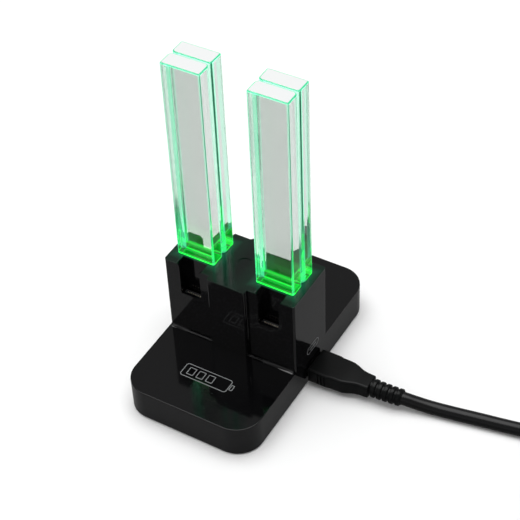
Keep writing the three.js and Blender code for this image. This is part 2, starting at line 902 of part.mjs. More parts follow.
// Tube along a route whose radius goes evenly from one end to the other.
function taperedTube(points, startRadius, endRadius) {
  const geometry = tube(points, 1, reliefSteps, 12);
  const route = new THREE.CatmullRomCurve3(points.map((p) => new THREE.Vector3(...p)));
  const position = geometry.attributes.position;
  const spine = [];
  for (let i = 0; i <= reliefSteps; i += 1) spine.push(route.getPointAt(i / reliefSteps));
  const vertex = new THREE.Vector3();
  for (let i = 0; i < position.count; i += 1) {
    vertex.fromBufferAttribute(position, i);
    const distances = spine.map((p) => p.distanceTo(vertex));
    const nearest = distances.indexOf(Math.min(...distances));
    const radius = startRadius + (endRadius - startRadius) * (nearest / reliefSteps);
    vertex.sub(spine[nearest]).multiplyScalar(radius).add(spine[nearest]);
    position.setXYZ(i, vertex.x, vertex.y, vertex.z);
  }
  return solid(geometry);
}

function plugShell() {
  const tip = gripFront - fitGap - plugShellLength;
  const end = gripFront - fitGap;
  const radius = plugShellHeight / 2 - sealRadius;
  const outer = sleeve(tip, end, portY, portZ, plugShellWidth, plugShellHeight, radius);
  const inner = sleeve(
    tip - through,
    end - 2 * plugShellWall,
    portY,
    portZ,
    plugShellWidth - 2 * plugShellWall,
    plugShellHeight - 2 * plugShellWall,
    radius - plugShellWall,
  );
  return cut(outer, inner);
}

function addPlugAndCord() {
  addPiece("usb_c_plug_shell", plugShell(), steel);
  addPiece("usb_c_plug_grip", plugGrip(), cordBlack);
  addPiece("usb_cord_lead", tube(leadRoute, cordDiameter / 2, 12, cordSides), cordBlack);
  addPiece("usb_cord_tail", tube(tailRoute, cordDiameter / 2, 8, cordSides), cordBlack);
  const [x, y] = coilMiddle;
  const ring = [
    new THREE.Vector2(coilInner, coilBottom),
    new THREE.Vector2(coilOuter, coilBottom),
    new THREE.Vector2(coilOuter, coilTop),
    new THREE.Vector2(coilInner, coilTop),
    new THREE.Vector2(coilInner, coilBottom),
  ];
  const coil = new THREE.LatheGeometry(ring, coilSegments);
  coil.rotateX(Math.PI / 2);
  addPiece("usb_cord_coil", solid(coil.translate(x, y, 0)), cordBlack);
  addPiece("cord_tie", cordTie(), tieBlack);
}

// Band round the coil's section.
function cordTie() {
  const [x, y] = coilMiddle;
  const bandOuter = coilOuter + fitGap + tieThickness;
  const bandInner = coilInner - fitGap - tieThickness;
  const bandTop = coilTop + fitGap + tieThickness;
  const outer = block(bandInner, bandOuter, -tieWidth / 2, tieWidth / 2, 0, bandTop);
  const ring = new THREE.LatheGeometry(
    [
      new THREE.Vector2(coilInner - fitGap, coilBottom - fitGap),
      new THREE.Vector2(coilOuter + fitGap, coilBottom - fitGap),
      new THREE.Vector2(coilOuter + fitGap, coilTop + fitGap),
      new THREE.Vector2(coilInner - fitGap, coilTop + fitGap),
      new THREE.Vector2(coilInner - fitGap, coilBottom - fitGap),
    ],
    coilSegments * 2,
  );
  ring.rotateX(Math.PI / 2);
  const degrees = THREE.MathUtils.radToDeg(tieTurn);
  return cut(outer, solid(ring)).rotate([0, 0, degrees]).translate([x, y, 0]);
}

function addUsbAPlug() {
  const z = usbAHeight / 2;
  const gripStart = usbAStartY - usbAReliefLength;
  const gripEnd = gripStart - usbALength;
  const front = usbAFrontRadius;
  const rear = usbARearRadius;
  const outline = roundedOutline(usbAWidth, usbALength, [front, rear, rear, front]);
  const middle = (gripStart + gripEnd) / 2;
  const body = solid(extrude(outline, usbAHeight, 4).translate(usbAX, middle, 0));
  const reliefLength = usbAReliefLength + through;
  const relief = new THREE.CylinderGeometry(reliefEnd / 2, reliefStart / 2, reliefLength, 12);
  relief.translate(usbAX, usbAStartY - reliefLength / 2, z);
  addPiece("usb_a_grip", join(body, solid(relief)), cordBlack);
  const near = gripEnd - fitGap;
  const far = near - usbAShellLength;
  const half = usbAShellWidth / 2;
  const halfHeight = usbAShellHeight / 2;
  const outer = block(usbAX - half, usbAX + half, far, near, z - halfHeight, z + halfHeight);
  const innerHalf = half - usbAShellWall;
  const innerHeight = halfHeight - usbAShellWall;
  const inner = block(
    usbAX - innerHalf,
    usbAX + innerHalf,
    far - through,
    near - usbAShellWall,
    z - innerHeight,
    z + innerHeight,
  );
  addPiece("usb_a_shell", cut(outer, inner), steel);
  const tongue = block(
    usbAX - innerHalf + fitGap,
    usbAX + innerHalf - fitGap,
    far + usbATongueInset,
    near - usbAShellWall - fitGap,
    z + innerHeight - fitGap - usbATongueHeight,
    z + innerHeight - fitGap,
  );
  addPiece("usb_a_tongue", tongue, holderWhite);
}

// ---- Assembly --------------------------------------------------------------------------------
addPiece("upper_shell", upperShell(), glossBlack);
addPiece("bottom_cover", bottomCover(), mattBlack);
addCornerPieces();
addLights();
addContacts();
addMainBoard();
addSocket();
addPlugAndCord();
addUsbAPlug();

export default dock;
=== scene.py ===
"""Builds the looks of a game controller charging dock, piece by piece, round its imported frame.

Every piece is in metres, in the frame's own axes: X from the left column to the right one,
-Y the front and +Z up.
"""

import math

import bmesh
import bpy
from bpy.props import FloatProperty, FloatVectorProperty, IntProperty, PointerProperty
from bpy.types import Operator, Panel, PropertyGroup
from mathutils import Matrix, Vector


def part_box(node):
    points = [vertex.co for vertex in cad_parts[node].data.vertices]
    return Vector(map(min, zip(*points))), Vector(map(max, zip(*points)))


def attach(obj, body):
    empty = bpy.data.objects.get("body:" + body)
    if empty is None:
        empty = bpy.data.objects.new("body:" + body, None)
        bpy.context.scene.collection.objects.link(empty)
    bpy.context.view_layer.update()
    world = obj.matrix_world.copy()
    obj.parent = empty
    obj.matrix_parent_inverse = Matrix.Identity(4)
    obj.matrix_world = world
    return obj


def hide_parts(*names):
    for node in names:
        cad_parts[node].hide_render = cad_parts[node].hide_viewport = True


bl_info = {
    "name": "Charging Dock",
    "version": (1, 0, 0),
    "blender": (4, 5, 0),
    "location": "3D View > Sidebar > Dock",
    "description": "Adds the pieces of a controller charging dock with edge-lit columns",
    "category": "Add Mesh",
}

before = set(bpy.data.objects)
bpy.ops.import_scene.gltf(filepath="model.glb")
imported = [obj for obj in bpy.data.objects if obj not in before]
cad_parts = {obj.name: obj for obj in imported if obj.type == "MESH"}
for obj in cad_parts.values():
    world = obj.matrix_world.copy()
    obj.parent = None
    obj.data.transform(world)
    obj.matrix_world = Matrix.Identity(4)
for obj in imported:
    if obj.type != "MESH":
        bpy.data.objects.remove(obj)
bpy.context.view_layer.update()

MM = 0.001
PLACES = ("front_left", "front_right", "rear_left", "rear_right")
TOLERANCE = 1e-6
BASE_TOP = 12 * MM


def linear(code):
    """Linear colour, with an alpha of 1, of an sRGB hex value."""
    channels = [int(code[i : i + 2], 16) / 255 for i in (1, 3, 5)]
    return (*(c / 12.92 if c <= 0.04045 else ((c + 0.055) / 1.055) ** 2.4 for c in channels), 1.0)


# ---- Sizes and colours that a user may change -------------------------------
def length(name, description, default):
    return FloatProperty(
        name=name, description=description, default=default, unit="LENGTH", precision=5
    )


def power(name, description, default):
    return FloatProperty(name=name, description=description, default=default, unit="POWER")


def colour(name, description, code):
    return FloatVectorProperty(
        name=name,
        description=description,
        default=linear(code)[:3],
        min=0,
        max=1,
        size=3,
        subtype="COLOR",
    )


class DockShellSettings(PropertyGroup):
    rim_radius: length("Rim radius", "Rounding of the base's upper edge", 0.2 * MM)
    edge_radius: length("Edge radius", "Rounding of the tower's upper edges", 0.35 * MM)
    plastic: colour("Plastic", "Colour of the glossy moulding", "#060607")


class DockBarSettings(PropertyGroup):
    inner_radius: length("Groove radius", "Corner rounding next to the other bar", 1.5 * MM)
    outer_radius: length("Corner radius", "Corner rounding of the outer edges", 0.6 * MM)
    rim_radius: length("Rim radius", "Rounding of the polished top edge", 0.45 * MM)
    body: colour("Body", "Colour of the acrylic seen through its faces", "#dadedb")
    glow: colour("Glow", "Colour of the light in the edges", "#4fe0a6")
    base_glow: colour("Base glow", "Colour of the light next to the LEDs", "#10f03a")


class DockCordSettings(PropertyGroup):
    diameter: length("Diameter", "Outer diameter of the cord", 4.5 * MM)
    coil_turns: IntProperty(
        name="Turns in a layer", description="Turns wound in each layer", default=3, min=1
    )
    jacket: colour("Jacket", "Colour of the cord's jacket", "#0b0b0c")


class DockStageSettings(PropertyGroup):
    floor: colour("Floor", "Colour of the floor", "#f4f4f4")
    dim_floor: colour("Dim floor", "Colour of the floor in reflections", "#7c7c7c")
    key_power: power("Key light", "Power of the overhead light", 6.2)
    fill_power: power("Fill light", "Power of the light in front", 0.6)


# ---- Mesh helpers -----------------------------------------------------------
def merged_copy(node):
    """A bmesh of a CAD node with its loose triangles merged into whole faces."""
    bm = bmesh.new()
    bm.from_mesh(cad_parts[node].data)
    bmesh.ops.remove_doubles(bm, verts=bm.verts, dist=2 * TOLERANCE)
    bmesh.ops.dissolve_limit(
        bm,
        angle_limit=math.radians(0.6),
        verts=bm.verts,
        edges=bm.edges,
        use_dissolve_boundaries=False,
    )
    return bm


def bevel(bm, geom, radius, segments=3, clamp=True, affect="EDGES"):
    """Rounds edges, or the corners of a flat face."""
    return bmesh.ops.bevel(
        bm,
        geom=geom,
        offset=radius,
        offset_type="OFFSET",
        segments=segments,
        profile=0.5,
        affect=affect,
        clamp_overlap=clamp,
        material=-1,
    )


def sharp_edges(bm, degrees):
    """Edges whose faces turn by more than an angle."""
    limit = math.radians(degrees)
    return [e for e in bm.edges if e.is_manifold and e.calc_face_angle() > limit]


def cut(bm, faces, point, normal):
    """Cuts faces along a plane."""
    geom = list(dict.fromkeys(g for f in faces for g in (f, *f.edges, *f.verts)))
    bmesh.ops.bisect_plane(bm, geom=geom, dist=TOLERANCE, plane_co=point, plane_no=normal)


def box(bm, lo, hi):
    """Adds a closed box between two corners and returns its vertices."""
    lo, hi = Vector(lo), Vector(hi)
    made = bmesh.ops.create_cube(bm, size=1)["verts"]
    bmesh.ops.scale(bm, vec=hi - lo, verts=made)
    bmesh.ops.translate(bm, vec=(lo + hi) / 2, verts=made)
    return made


def add_piece(bm, name, materials, body, replaces=(), sharp=38):
    """Turns a finished bmesh into a smooth-shaded piece that rides on a body."""
    mesh = bpy.data.meshes.new(name)
    bm.to_mesh(mesh)
    bm.free()
    for material in materials:
        mesh.materials.append(material)
    mesh.shade_smooth()
    mesh.set_sharp_from_angle(angle=math.radians(sharp))
    piece = bpy.data.objects.new(name, mesh)
    bpy.context.scene.collection.objects.link(piece)
    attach(piece, body)
    if replaces:
        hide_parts(*replaces)
    # keeps each flat face flat next to its rounded edges, so its reflections stay straight
    flat = piece.modifiers.new("flat_faces", "WEIGHTED_NORMAL")
    flat.weight = 100
    flat.keep_sharp = True


def add_rounded(node, name, material, body, radius, segments):
    """Adds a CAD node's shape as a piece, with its sharp edges rounded."""
    bm = merged_copy(node)
    bevel(bm, sharp_edges(bm, 60), radius, segments)
    add_piece(bm, name, [material], body, [node])


# ---- Material helpers -------------------------------------------------------
def add_node(tree, kind, values=None, **settings):
    """Adds a node with its settings, and its inputs as numbers or as sockets to link."""
    node = tree.nodes.new(kind)
    for key, value in settings.items():
        setattr(node, key, value)
    for key, value in (values or {}).items():
        if isinstance(value, bpy.types.NodeSocket):
            tree.links.new(value, node.inputs[key])
        else:
            node.inputs[key].default_value = value
    return node


def new_material(name, values):
    """A material with one Principled shader, its tree and the object's own coordinates."""
    material = bpy.data.materials.new(name)
    material.use_nodes = True
    tree = material.node_tree
    tree.nodes.clear()
    shader = add_node(tree, "ShaderNodeBsdfPrincipled", values)
    add_node(tree, "ShaderNodeOutputMaterial", {"Surface": shader.outputs["BSDF"]})
    place = add_node(tree, "ShaderNodeTexCoord").outputs["Object"]
    return material, tree, shader, place


def noise(tree, place, size, detail=2.0):
    """A fine mottle: size is that of its spots, in mm."""
    values = {"Vector": place, "Scale": 1 / (size * MM), "Detail": detail}
    return add_node(tree, "ShaderNodeTexNoise", values).outputs["Fac"]


def link_relief(tree, shader, height, strength, depth):
    """Bumps on a surface where a value is high: depth is their height, in mm."""
    values = {"Height": height, "Strength": strength, "Distance": depth * MM}
    relief = add_node(tree, "ShaderNodeBump", values)
    tree.links.new(relief.outputs["Normal"], shader.inputs["Normal"])


def simple_material(
    name, colour, roughness, metallic=0.0, *, grain, bump=0.3, depth=0.02, ior=1.5, shine=0.5
):
    """A moulded or formed surface.

    grain is the size of its texture and depth that texture's height, in mm; bump is how much of
    it shows, and a shine of 0.5 is the reflection that its ior gives.
    """
    material, tree, shader, place = new_material(
        name,
        {
            "Base Color": colour,
            "Roughness": roughness,
            "Metallic": metallic,
            "IOR": ior,
            "Specular IOR Level": shine,
        },
    )
    link_relief(tree, shader, noise(tree, place, grain, 3.0), bump, depth)
    return material


def map_range(tree, value, start, end, first, last):
    """Goes from first to last while a value goes from start to end."""
    values = {"Value": value, "From Min": start, "From Max": end, "To Min": first, "To Max": last}
    return add_node(tree, "ShaderNodeMapRange", values).outputs["Result"]


def ramp(tree, along, stops):
    """A value that changes with another one: stops are pairs of that one, in mm, and the value."""
    result = None
    for (low, first), (high, last) in zip(stops, stops[1:]):
        if result is None:
            result = map_range(tree, along, low * MM, high * MM, first, last)
        else:
            step = map_range(tree, along, low * MM, high * MM, 0.0, last - first)
            result = calculate(tree, "ADD", result, step)
    return result


def height_ramp(tree, place, stops):
    """A value that changes with height."""
    height = add_node(tree, "ShaderNodeSeparateXYZ", {"Vector": place}).outputs["Z"]
    return ramp(tree, height, stops)


def calculate(tree, operation, *values):
    """The result of one operation on numbers or sockets."""
    node = add_node(tree, "ShaderNodeMath", dict(enumerate(values)), operation=operation)
    return node.outputs["Value"]


# ---- Stage ------------------------------------------------------------------
CAMERA_TARGET = (2.607 * MM, 5.205 * MM, 40 * MM)
CAMERA_AZIMUTH = 32.156
CAMERA_ELEVATION = 43.162
CAMERA_DISTANCE = 476.217 * MM
CAMERA_ROLL = -2.781
CAMERA_LENS = 102.01
SENSOR_WIDTH = 36
FLOOR_RADIUS = 6
MIRRORED_FLOOR_HEIGHT = -0.4 * MM
KEY_LIGHT = {"place": (-0.05, 0.05, 0.75), "size": (0.7, 0.7)}
FILL_LIGHT = {"place": (-0.33, -0.6, 0.5), "size": (0.6, 0.4)}
LIGHTS_AIM = (0, 0, 0.03)
WALL_TOP, CEILING_START = 0.3, 0.62  # sines of the angles above the horizon
WALL_LIGHT, CEILING_LIGHT = 0.55, 0.3


class DOCK_OT_stage(Operator):
    """Add the pale floor, the soft lights and the camera"""

    bl_idname = "dock.add_stage"
    bl_label = "Stage"

    def execute(self, context):
        settings = context.scene.dock_stage
        scene = context.scene
        scene.view_settings.view_transform = "Standard"
        self.add_floor(scene, settings)
        self.add_world(scene)
        self.add_light(scene, "key_light", power=settings.key_power, **KEY_LIGHT)
        self.add_light(scene, "fill_light", power=settings.fill_power, **FILL_LIGHT)
        self.add_camera(scene)
        return {"FINISHED"}

    def add_floor(self, scene, settings):
        """A white floor, and under it a dim copy of it that only reflections show."""
        seen = self.add_disc(scene, "floor", 0, settings.floor)
        for kind in ("glossy", "shadow"):
            setattr(seen, "visible_" + kind, False)
        height = MIRRORED_FLOOR_HEIGHT
        mirrored = self.add_disc(scene, "floor_in_reflections", height, settings.dim_floor)
        for kind in ("camera", "diffuse", "transmission", "shadow"):
            setattr(mirrored, "visible_" + kind, False)

    def add_disc(self, scene, name, height, shade):
        """A floor that reaches far out on every side."""
        bm = bmesh.new()
        bmesh.ops.create_circle(
            bm,
            cap_ends=True,
            radius=FLOOR_RADIUS,
            segments=64,
            matrix=Matrix.Translation((0, 0, height)),
        )
        mesh = bpy.data.meshes.new(name)
        bm.to_mesh(mesh)
        bm.free()
        # Painted studio floor: dead matt, so that it shows soft shadows and no reflection
        values = {"Base Color": (*shade, 1), "Roughness": 0.9, "Specular IOR Level": 0.0}
        mesh.materials.append(new_material("matt_" + name, values)[0])
        floor = bpy.data.objects.new(name, mesh)
        scene.collection.objects.link(floor)
        return floor

    def add_world(self, scene):
        """Pale walls all round up to eye height, with a darker ceiling over them."""
        world = bpy.data.worlds.new("studio")
        scene.world = world
        world.use_nodes = True
        tree = world.node_tree
        tree.nodes.clear()
        direction = add_node(tree, "ShaderNodeTexCoord").outputs["Generated"]
        height = add_node(tree, "ShaderNodeSeparateXYZ", {"Vector": direction}).outputs["Z"]
        light = map_range(tree, height, WALL_TOP, CEILING_START, WALL_LIGHT, CEILING_LIGHT)
        background = add_node(tree, "ShaderNodeBackground", {"Color": light})
        add_node(tree, "ShaderNodeOutputWorld", {"Surface": background.outputs["Background"]})

    def add_light(self, scene, name, power, place, size):
        """A soft square lamp over the dock that faces it."""
        data = bpy.data.lights.new(name, "AREA")
        data.shape = "RECTANGLE"
        data.size, data.size_y = size
        data.energy = power
        light = bpy.data.objects.new(name, data)
        light.location = place
        away = Vector(place) - Vector(LIGHTS_AIM)
        light.rotation_euler = away.to_track_quat("Z", "Y").to_euler()
        scene.collection.objects.link(light)

    def add_camera(self, scene):
        """The camera that looks at the dock from the front right, slightly tilted."""
        a, e, r = map(math.radians, (CAMERA_AZIMUTH, CAMERA_ELEVATION, CAMERA_ROLL))
        back = Vector((math.sin(a) * math.cos(e), -math.cos(a) * math.cos(e), math.sin(e)))
        level = Vector((math.cos(a), math.sin(a), 0))
        rise = back.cross(level)
        right = math.cos(r) * level + math.sin(r) * rise
        up = -math.sin(r) * level + math.cos(r) * rise
        data = bpy.data.cameras.new("camera")
        data.lens = CAMERA_LENS
        data.sensor_width = SENSOR_WIDTH
        data.clip_start = 0.01
        camera = bpy.data.objects.new("camera", data)
        camera.matrix_world = Matrix.Translation(
            Vector(CAMERA_TARGET) + back * CAMERA_DISTANCE
        ) @ Matrix((right, up, back)).transposed().to_4x4()
        scene.collection.objects.link(camera)
        scene.camera = camera


# ---- Cord -------------------------------------------------------------------
# Places and radii in mm
LEAD_ROUTE = (
    (55.8, 2.79, 4.12),
    (56.8, 2.98, 4.0),
    (61, 3.9, 3.2),
    (66, 5.0, 2.5),
    (73, 6.3, 2.3),
    (81, 7.8, 2.3),
    (89, 9.2, 2.3),
    (97, 10.8, 2.35),
    (105, 12.7, 2.6),
    (113, 14.9, 2.9),
    (120.5, 16.8, 3.1),
    (129, 17.7, 3.15),
)
TAIL_ROUTE = (
    (148.5, 17.9, 7.6),
    (153.5, 17.7, 6.8),
    (158.2, 16.9, 5.6),
    (163.8, 12.3, 3.9),
    (168.2, 6.1, 2.7),
    (170.9, -0.8, 2.35),
    (171.8, -6.9, 2.6),
    (172, -12.2, 3.3),
    (172, -17.1, 3.8),
    (172, -19.5, 3.8),
)
COIL_MIDDLE = (139, -9)
COIL_INNER_RADIUS = 18
COIL_LAYERS = (3.15, 7.65)
COIL_STEPS = 24  # in a turn
CROSSING = 1 / 6  # the share of a turn in which the cord moves on to the next lap


def ease(share):
    """0 to 1, starting and ending gently."""
    share = min(1, max(0, share))
    return share * share * (3 - 2 * share)


def coil_route(diameter, turns):
    """Points of the wound part: in and round on the lower layer, then out on the upper one."""
    points = []
    gap = diameter / MM
    for step in range(2 * turns * COIL_STEPS + 1):
        turned = step / COIL_STEPS
        lap = min(int(turned), 2 * turns - 1)
        share = turned - lap
        low, high = COIL_LAYERS
        if lap < turns:
            # the lower layer steps inwards, or climbs, at the end of each turn
            inward = ease((share - 1 + CROSSING) / CROSSING)
            radius = COIL_INNER_RADIUS + gap * (turns - 1 - lap)
            if lap < turns - 1:
                radius -= gap * inward
                z = low
            else:
                z = low + (high - low) * inward
        else:
            # the upper layer steps outwards just before that place
            outward = ease((share - 1 + 2 * CROSSING) / CROSSING)
            radius = COIL_INNER_RADIUS + gap * (lap - turns)
            if lap < 2 * turns - 1:
                radius += gap * outward
            z = high
        angle = math.pi / 2 - 2 * math.pi * turned
        x = COIL_MIDDLE[0] + radius * math.cos(angle)
        y = COIL_MIDDLE[1] + radius * math.sin(angle)
        points.append((x, y, z))
    return points


class DOCK_OT_cord(Operator):
    """Add the USB cord: its free stretch, its coil and the tail to the USB-A plug"""

    bl_idname = "dock.add_cord"
    bl_label = "Cord"

    def execute(self, context):
        settings = context.scene.dock_cord
        coil = coil_route(settings.diameter, settings.coil_turns)
        points = [*LEAD_ROUTE, *coil, *TAIL_ROUTE]
        curve = bpy.data.curves.new("usb_cord", "CURVE")
        curve.dimensions = "3D"
        curve.bevel_depth = settings.diameter / 2
        curve.bevel_resolution = 4
        curve.resolution_u = 4
        curve.use_fill_caps = True
        spline = curve.splines.new("BEZIER")
        spline.bezier_points.add(len(points) - 1)
        for knot, point in zip(spline.bezier_points, points):
            knot.co = Vector(point) * MM
            knot.handle_left_type = knot.handle_right_type = "AUTO"
        curve.materials.append(cord_jacket(settings))
        cord = bpy.data.objects.new("usb_cord", curve)
        context.scene.collection.objects.link(cord)
        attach(cord, "lead")
        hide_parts("usb_cord_lead", "usb_cord_coil", "usb_cord_tail")
        return {"FINISHED"}


def cord_jacket(settings):
    # Extruded PVC: satin black, with a faint grain and one soft highlight along the cord
    colour = (*settings.jacket, 1)
    return simple_material("extruded_pvc", colour, 0.26, grain=0.5, bump=0.2, shine=0.22)


# ---- Shell ------------------------------------------------------------------
class DOCK_OT_shell(Operator):
    """Add the glossy base and tower"""

    bl_idname = "dock.add_shell"
    bl_label = "Shell"

    UNDER_BARS = 4.6 * MM  # the roof's edges nearer the middle than this stay sharp
    TOWER_HALF_DEPTH = 10.6 * MM
    OUTLINE_SIDE, OUTLINE_END = 23.9 * MM, 32 * MM  # the outline lies past one of them

    def execute(self, context):
        settings = context.scene.dock_shell
        bm = merged_copy("upper_shell")
        tower_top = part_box("upper_shell")[1].z

        def at(edge, height):
            return all(abs(v.co.z - height) < TOLERANCE for v in edge.verts)

        rim = [
            e
            for e in sharp_edges(bm, 60)
            if at(e, BASE_TOP) and any(self.on_outline(v.co) for v in e.verts)
        ]
        bevel(bm, rim, settings.rim_radius, 5, clamp=False)
        edges = [
            e
            for e in sharp_edges(bm, 40)
            if at(e, tower_top) and not any(abs(v.co.y) < self.UNDER_BARS for v in e.verts)
        ]
        bevel(bm, edges, settings.edge_radius, 3)
        black = piano_black(settings)
        add_piece(bm, "dock_shell", [black], "dock", ["upper_shell"])
        return {"FINISHED"}

    @classmethod
    def on_outline(cls, co):
        """True on the base's outer side, away from the tower."""
        x, y = abs(co.x), abs(co.y)
        beside_tower = y < cls.TOWER_HALF_DEPTH
        return not beside_tower and (x > cls.OUTLINE_SIDE or y > cls.OUTLINE_END)


def painted_roof_light(tree, place):
    """How strong the painted green light on the roof is: it fades with the distance from the bars'
    feet.
    """
    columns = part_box("light_bar_front_right"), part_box("light_bar_rear_right")
    (low, _), (_, high) = columns
    spot = add_node(tree, "ShaderNodeSeparateXYZ", {"Vector": place}).outputs
    middle, half = (low.x + high.x) / 2, (high.x - low.x) / 2
    across = calculate(tree, "SUBTRACT", calculate(tree, "ABSOLUTE", spot["X"]), middle)
    across = calculate(tree, "SUBTRACT", calculate(tree, "ABSOLUTE", across), half)
    deep = calculate(tree, "SUBTRACT", calculate(tree, "ABSOLUTE", spot["Y"]), high.y)
    away = calculate(tree, "MAXIMUM", across, deep)
    return ramp(tree, away, ((0, 0.07), (2.5, 0.014), (9, 0.001)))


def piano_black(settings):
    # High-gloss ABS from a polished mould: deep black, with reflections that fine dust softens a
    # little; the tower's roof is slightly less polished and has a painted green glow round the
    # bars' feet
    material, tree, shader, place = new_material(
        "piano_gloss_abs",
        {
            "Base Color": (*settings.plastic, 1),
            "IOR": 1.54,
            "Specular IOR Level": 0.4,
            # painted light: the green of the glow painted on the roof round the bars' feet
            "Emission Color": linear("#45ffb4"),
        },
    )
    dust = noise(tree, place, 3, detail=4.0)
    haze = map_range(tree, dust, 0.35, 0.75, first=0.06, last=0.11)
    roof = height_ramp(tree, place, ((41.4, 0.0), (41.8, 1.0)))
    spread = calculate(tree, "MULTIPLY_ADD", roof, 0.05, haze)
    tree.links.new(spread, shader.inputs["Roughness"])
    # painted light: an emission on the roof, strongest next to the bars, stands in for their light
    # falling on it
    glow = calculate(tree, "MULTIPLY", roof, painted_roof_light(tree, place))
    tree.links.new(glow, shader.inputs["Emission Strength"])
    link_relief(tree, shader, noise(tree, place, 0.5), strength=0.05, depth=0.01)
    return material


# ---- Light bars -------------------------------------------------------------
class DOCK_OT_bars(Operator):
    """Add the four clear bars, in two pairs, each with a tenon that goes through the roof"""

    bl_idname = "dock.add_bars"
    bl_label = "Light bars"

    BODY, EDGE, TOP, FOOT = range(4)  # material slots
    SHOULDER_GAP = 0.3 * MM
    TENON_HALF_WIDTH = 5.5 * MM
    TENON_DEPTH = (0.9 * MM, 3.9 * MM)  # from the middle plane

    def execute(self, context):
        settings = context.scene.dock_bars
        materials = [
            acrylic_body(settings),
            acrylic_edge(settings),
            acrylic_top(),
            acrylic_foot(settings),
        ]
        for place in PLACES:
            self.add_bar(place, settings, materials)
        return {"FINISHED"}

    def add_bar(self, place, settings, materials):
        lo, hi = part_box("light_bar_" + place)
        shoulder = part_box("upper_shell")[1].z + self.SHOULDER_GAP
        bm = bmesh.new()
        box(bm, (lo.x, lo.y, shoulder), hi)
        inside = min(abs(lo.y), abs(hi.y)) + MM
        upright = [e for e in bm.edges if abs(e.verts[0].co.z - e.verts[1].co.z) > MM]
        inner = [e for e in upright if abs(e.verts[0].co.y) < inside]
        outer = [e for e in upright if abs(e.verts[0].co.y) > inside]
        for face in bevel(bm, inner, settings.inner_radius, 8)["faces"]:
            face.material_index = self.EDGE
        for face in bevel(bm, outer, settings.outer_radius, 4)["faces"]:
            face.material_index = self.EDGE
        rim = [e for e in bm.edges if all(v.co.z > hi.z - TOLERANCE for v in e.verts)]
        for face in bevel(bm, rim, settings.rim_radius, 3)["faces"]:
            face.material_index = self.EDGE
        self.add_tenon(bm, place, shoulder, lo.z)
        for face in bm.faces:
            if face.normal.z > 0.99:
                face.material_index = self.TOP
            elif face.normal.z < -0.99:
                face.material_index = self.FOOT
        name, node = "acrylic_bar_" + place, "light_bar_" + place
        add_piece(bm, name, materials, "dock", [node])

    def add_tenon(self, bm, place, shoulder, end):
        """Draws the tenon out of the bar's lower face."""
        lo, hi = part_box("light_bar_" + place)
        middle = (lo.x + hi.x) / 2
        side = 1 if lo.y > 0 else -1
        near, far = self.TENON_DEPTH
        cuts = (
            ((middle - self.TENON_HALF_WIDTH, 0, 0), (1, 0, 0)),
            ((middle + self.TENON_HALF_WIDTH, 0, 0), (1, 0, 0)),
            ((0, side * near, 0), (0, 1, 0)),
            ((0, side * far, 0), (0, 1, 0)),
        )
        for point, normal in cuts:
            low = [
                f
                for f in bm.faces
                if f.normal.z < -0.99 and f.calc_center_median().z < shoulder + TOLERANCE
            ]
            cut(bm, low, point, normal)
        foot = [
            f
            for f in bm.faces
            if f.normal.z < -0.99
            and abs(f.calc_center_median().x - middle) < MM
            and near < abs(f.calc_center_median().y) < far
        ]
        drawn = bmesh.ops.extrude_face_region(bm, geom=foot)["geom"]
        bmesh.ops.delete(bm, geom=foot, context="FACES_ONLY")
        verts = [g for g in drawn if isinstance(g, bmesh.types.BMVert)]
        bmesh.ops.translate(bm, vec=(0, 0, end - shoulder), verts=verts)


def acrylic_body(settings):
    # Cast acrylic with polished faces: clear, greyish where it is deep, with a bright green line
    # just above the roof where the light comes in, and a green tinge that dies out above it
    material, tree, shader, place = new_material(
        "polished_acrylic",
        {
            "Base Color": (*settings.body, 1),
            "Roughness": 0.0,
            "IOR": 1.49,
            "Transmission Weight": 1.0,
            "Emission Color": (*settings.base_glow, 1),
        },
    )
    stops = ((42.0, 0.25), (42.2, 1.0), (42.7, 1.0), (43.0, 0.04), (50, 0.03), (55, 0.0))
    glow = height_ramp(tree, place, stops)
    tree.links.new(glow, shader.inputs["Emission Strength"])
    return material


def acrylic_edge(settings):
    # The same acrylic where its rounded edges catch the light from below and turn mint green
    material, tree, shader, place = new_material(
        "edge_lit_acrylic",
        {
            "Base Color": linear("#b4f0d6"),
            "Roughness": 0.02,
            "IOR": 1.49,
            "Transmission Weight": 1.0,
            "Emission Color": (*settings.glow, 1),
        },
    )
    stops = ((42, 0.55), (60, 0.16), (112, 0.14), (116.5, 0.3), (117, 0.9))
    glow = height_ramp(tree, place, stops)
    tree.links.new(glow, shader.inputs["Emission Strength"])
    return material


def acrylic_top():
    # The ends of the bars, where the light comes out: finely ground and pale, with a painted pale
    # glow that makes them look nearly white
    return new_material(
        "ground_acrylic_painted_glow",
        {
            "Base Color": linear("#bcbdbd"),
            "Roughness": 0.45,
            "IOR": 1.49,
            # painted light: a faint pale glow on the ends stands in for the light that falls on
            # them
            "Emission Color": linear("#f2f6f5"),
            "Emission Strength": 0.17,
        },
    )[0]


def acrylic_foot(settings):
    # The shoulders just over the roof: painted dark green shade, and painted green light that is
    # brightest near the outer sides of the columns
    material, tree, shader, place = new_material(
        "acrylic_shoulder_painted_light_and_shade",
        {
            # painted shade: dark green stands in for the clear shoulders lying in the roof's shade
            "Base Color": linear("#041206"),
            "Roughness": 0.4,
            "IOR": 1.49,
            "Emission Color": (*settings.base_glow, 1),
        },
    )
    across = add_node(tree, "ShaderNodeSeparateXYZ", {"Vector": place}).outputs["Y"]
    # painted light: a green glow, brightest near the columns' outer sides, stands in for the LEDs'
    # light
    glow = ramp(tree, calculate(tree, "ABSOLUTE", across), ((4.4, 0.22), (4.8, 1.1)))
    tree.links.new(glow, shader.inputs["Emission Strength"])
    return material


